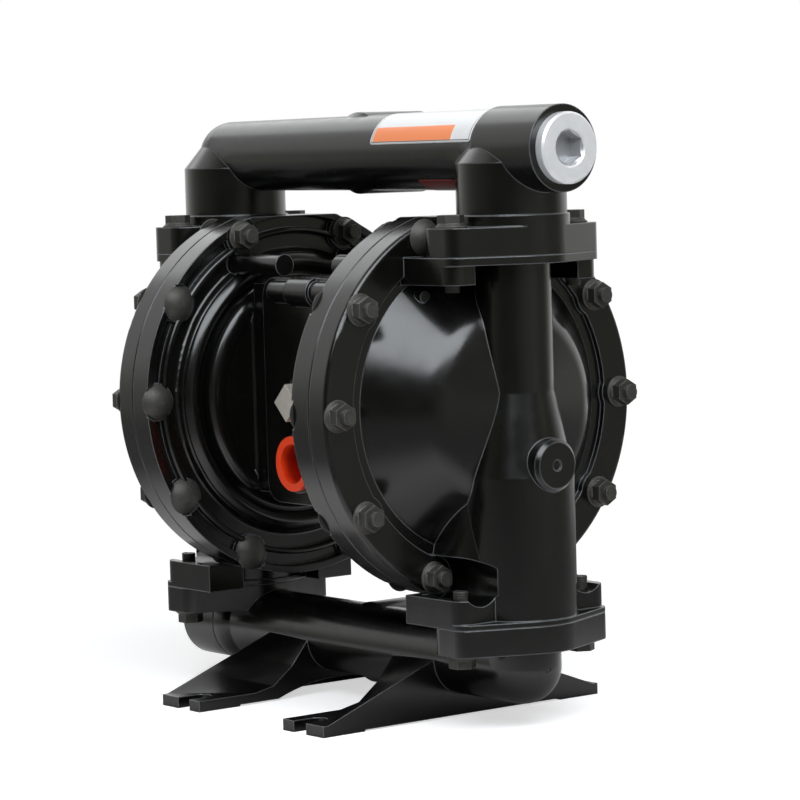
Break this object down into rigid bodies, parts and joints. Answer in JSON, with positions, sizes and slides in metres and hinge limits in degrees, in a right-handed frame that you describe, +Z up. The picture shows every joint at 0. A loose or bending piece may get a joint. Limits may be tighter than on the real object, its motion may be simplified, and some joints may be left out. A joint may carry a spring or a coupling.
{
  "type": "air-operated double diaphragm pump",
  "caption": "Metal air-operated diaphragm pump with twin chambers, ball valve columns, splayed feet, a top discharge pipe and a bottom suction pipe.",
  "frame": {"origin": "on the floor under the middle of the pump, halfway between the outer faces of the two end plugs", "axes": "+X along the diaphragm shaft to the chamber that carries the discharge end plug, +Z up, +Y to the side with the two ports and the air valve"},
  "size_m": [0.356, 0.2232, 0.3433],
  "materials": {
    "black_casting": "satin black paint on cast aluminium",
    "plain_aluminium": "machined",
    "nickel_plate": "nickel plated",
    "red_plastic": "moulded",
    "dark_fastener": "dark zinc",
    "black_rubber": "moulded",
    "white_plastic": "moulded fluoropolymer",
    "bright_steel": "ground"
  },
  "bodies": {
    "pump_housing": {"discharge_manifold": "black_casting", "suction_manifold": "black_casting", "fluid_cover_right": "black_casting", "fluid_cover_left": "black_casting", "air_cover_right": "black_casting", "air_cover_left": "black_casting", "centre_body": "black_casting", "discharge_end_plug": "plain_aluminium", "suction_end_plug": "plain_aluminium", "air_inlet_plug": "nickel_plate", "exhaust_cap": "red_plastic", "cover_bolts_right": "dark_fastener", "cover_bolts_left": "dark_fastener", "cover_nuts_right": "dark_fastener", "cover_nuts_left": "dark_fastener", "discharge_flange_bolts": "dark_fastener", "suction_flange_bolts": "dark_fastener", "suction_seat_right": "white_plastic", "suction_seat_left": "white_plastic", "discharge_seat_right": "white_plastic", "discharge_seat_left": "white_plastic", "suction_ring_right": "black_rubber", "suction_ring_left": "black_rubber", "discharge_ring_right": "black_rubber", "discharge_ring_left": "black_rubber", "shaft_bush_right": "white_plastic", "shaft_bush_left": "white_plastic", "diaphragm_right": "black_rubber", "diaphragm_left": "black_rubber", "air_valve_housing": "black_casting", "air_valve_gasket": "black_rubber", "air_valve_cap_right": "black_casting", "air_valve_cap_left": "black_casting", "air_valve_screws": "dark_fastener"},
    "shaft_assembly": {"diaphragm_shaft": "bright_steel", "air_side_plate_right": "bright_steel", "air_side_plate_left": "bright_steel", "fluid_side_plate_right": "bright_steel", "fluid_side_plate_left": "bright_steel", "plate_nut_right": "bright_steel", "plate_nut_left": "bright_steel"},
    "air_valve_spool": {"air_valve_spool": "bright_steel"},
    "pilot_rod": {"pilot_rod": "bright_steel"},
    "suction_ball_right": {"suction_ball_right": "white_plastic"},
    "suction_ball_left": {"suction_ball_left": "white_plastic"},
    "discharge_ball_right": {"discharge_ball_right": "white_plastic"},
    "discharge_ball_left": {"discharge_ball_left": "white_plastic"}
  },
  "joints": [
    {"name": "shaft_slide", "type": "slide", "parent": "pump_housing", "child": "shaft_assembly", "axis": [1, 0, 0], "range_m": [-0.009, 0.009], "deforming": ["diaphragm_right", "diaphragm_left"]},
    {"name": "air_valve_shift", "type": "slide", "parent": "pump_housing", "child": "air_valve_spool", "axis": [1, 0, 0], "range_m": [-0.007, 0.007]},
    {"name": "pilot_shift", "type": "slide", "parent": "pump_housing", "child": "pilot_rod", "axis": [1, 0, 0], "range_m": [-0.003, 0.003]},
    {"name": "suction_ball_right_lift", "type": "slide", "parent": "pump_housing", "child": "suction_ball_right", "axis": [0, 0, 1], "range_m": [0, 0.008]},
    {"name": "suction_ball_left_lift", "type": "slide", "parent": "pump_housing", "child": "suction_ball_left", "axis": [0, 0, 1], "range_m": [0, 0.008]},
    {"name": "discharge_ball_right_lift", "type": "slide", "parent": "pump_housing", "child": "discharge_ball_right", "axis": [0, 0, 1], "range_m": [0, 0.008]},
    {"name": "discharge_ball_left_lift", "type": "slide", "parent": "pump_housing", "child": "discharge_ball_left", "axis": [0, 0, 1], "range_m": [0, 0.008]}
  ]
}
